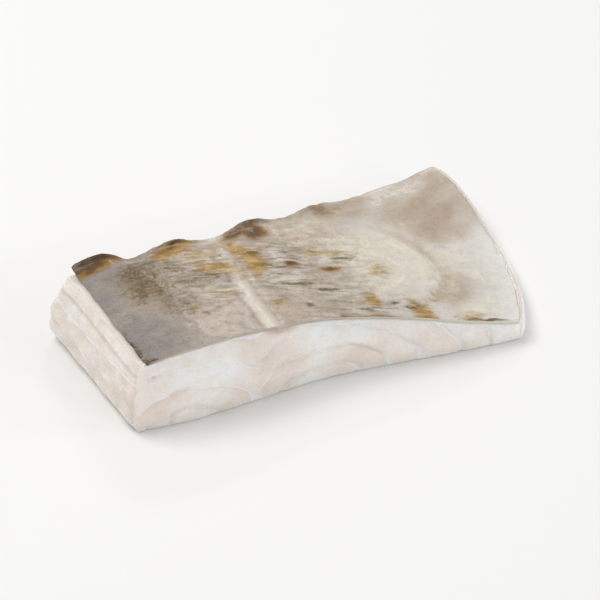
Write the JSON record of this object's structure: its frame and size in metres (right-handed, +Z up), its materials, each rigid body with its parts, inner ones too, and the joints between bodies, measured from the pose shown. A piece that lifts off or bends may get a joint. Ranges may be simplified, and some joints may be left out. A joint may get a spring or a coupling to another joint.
{
  "type": "desalted salt cod portion",
  "caption": "Skin-on portion of desalted salt cod, cut straight across the fillet, thick at the loin and thin at the belly flap, lying skin side up.",
  "frame": {"origin": "middle of the underside, at the level of the surface that the portion lies on", "axes": "+X from the thick loin to the thin belly flap, +Y along the fish, +Z up"},
  "size_m": [0.1444, 0.0762, 0.0285],
  "materials": {
    "flesh": "wet pearly white cod flesh with fine flakes",
    "skin": "moist grey and brown mottled fish skin with a pale belly"
  },
  "bodies": {
    "root": {"flesh": "flesh", "skin": "skin"}
  },
  "joints": []
}
